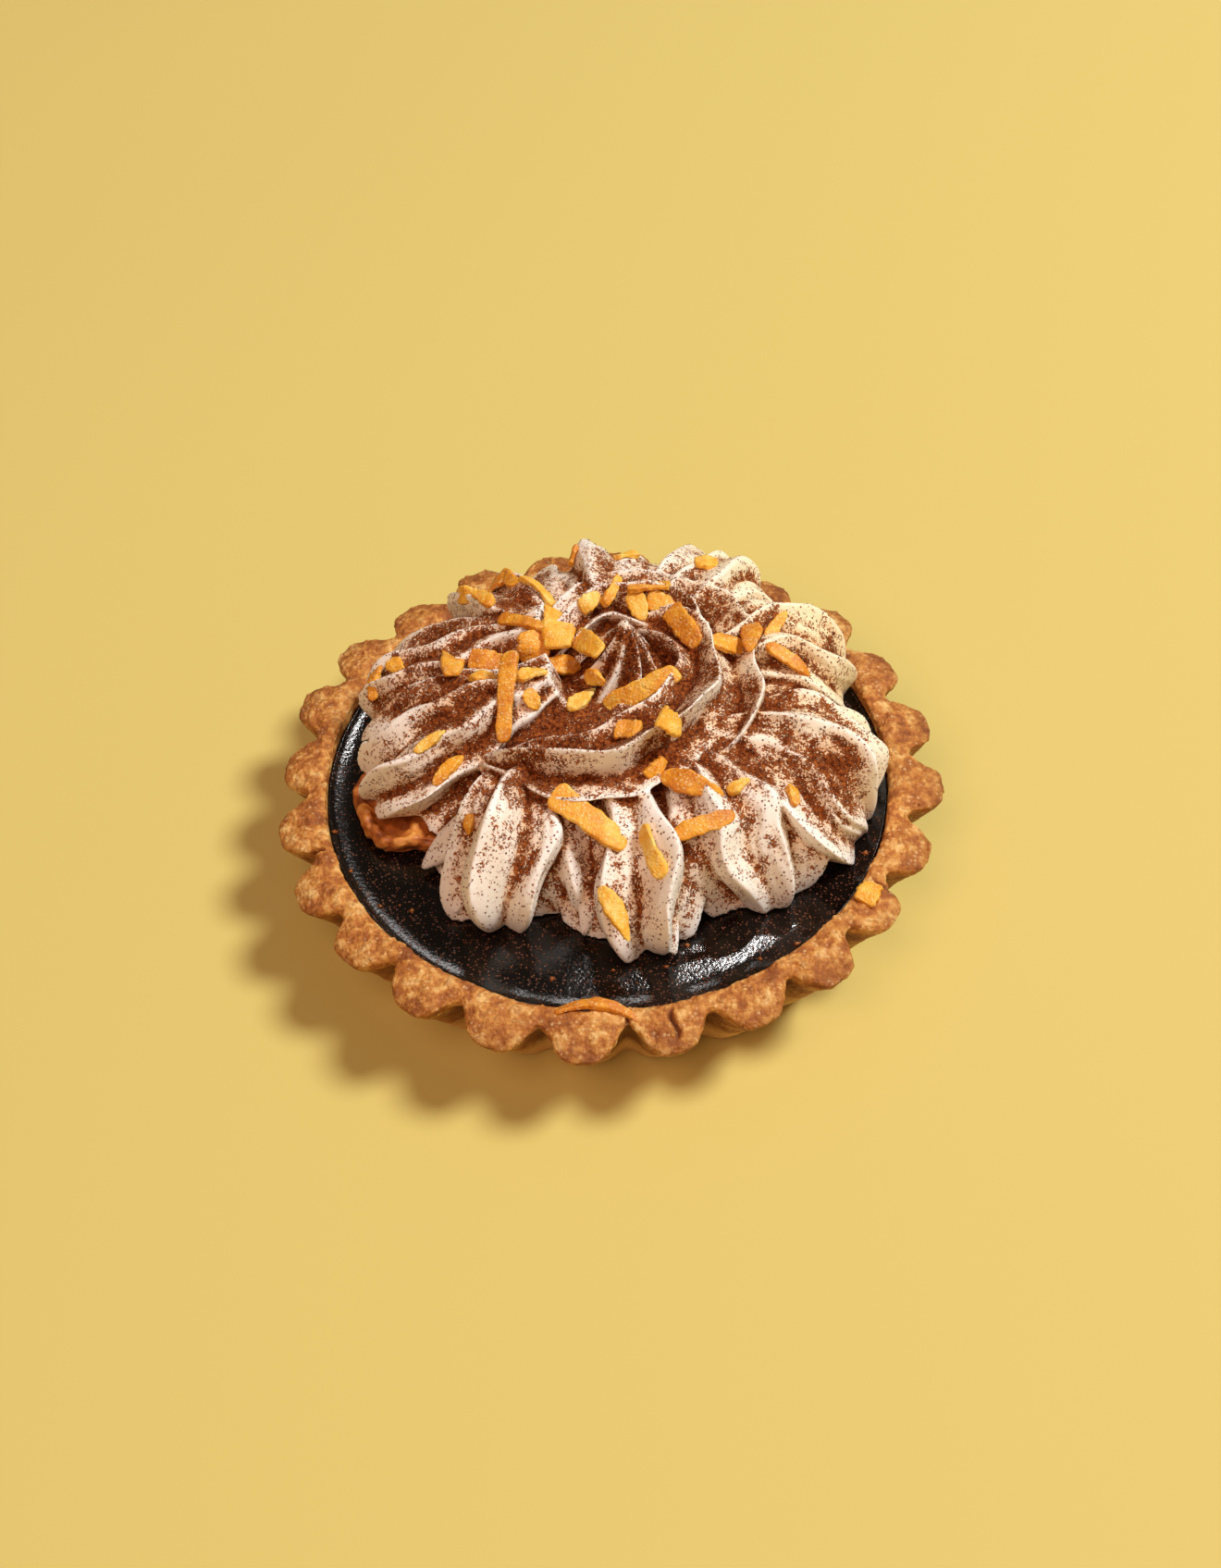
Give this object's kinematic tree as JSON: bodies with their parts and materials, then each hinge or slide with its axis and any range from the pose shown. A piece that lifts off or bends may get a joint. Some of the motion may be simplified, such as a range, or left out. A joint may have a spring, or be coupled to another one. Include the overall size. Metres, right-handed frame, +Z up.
{
  "type": "banoffee tart",
  "caption": "Small fluted shortcrust tart with a dark glossy filling, piped whipped cream dusted with cocoa, chopped candied peel and a dried fruit slice",
  "frame": {"origin": "middle of the flat base, on the surface that the tart stands on", "axes": "+Z up out of the tart, +X to the picture's right, +Y away from the picture's camera"},
  "size_m": [0.0994, 0.0997, 0.0379],
  "materials": {
    "pastry": "baked golden-brown shortcrust, dry and sandy",
    "ganache": "near-black set toffee and chocolate filling, glossy, dusted with cocoa",
    "cream": "piped whipped cream, soft sheen, dusted with cocoa",
    "peel": "chopped candied peel, orange-yellow, slightly waxy",
    "dried_fruit": "dried fruit slice, caramel-orange, slightly waxy"
  },
  "bodies": {
    "root": {"crust": "pastry", "filling": "ganache", "whipped_cream": "cream", "fruit_slice": "dried_fruit"}
  },
  "joints": []
}
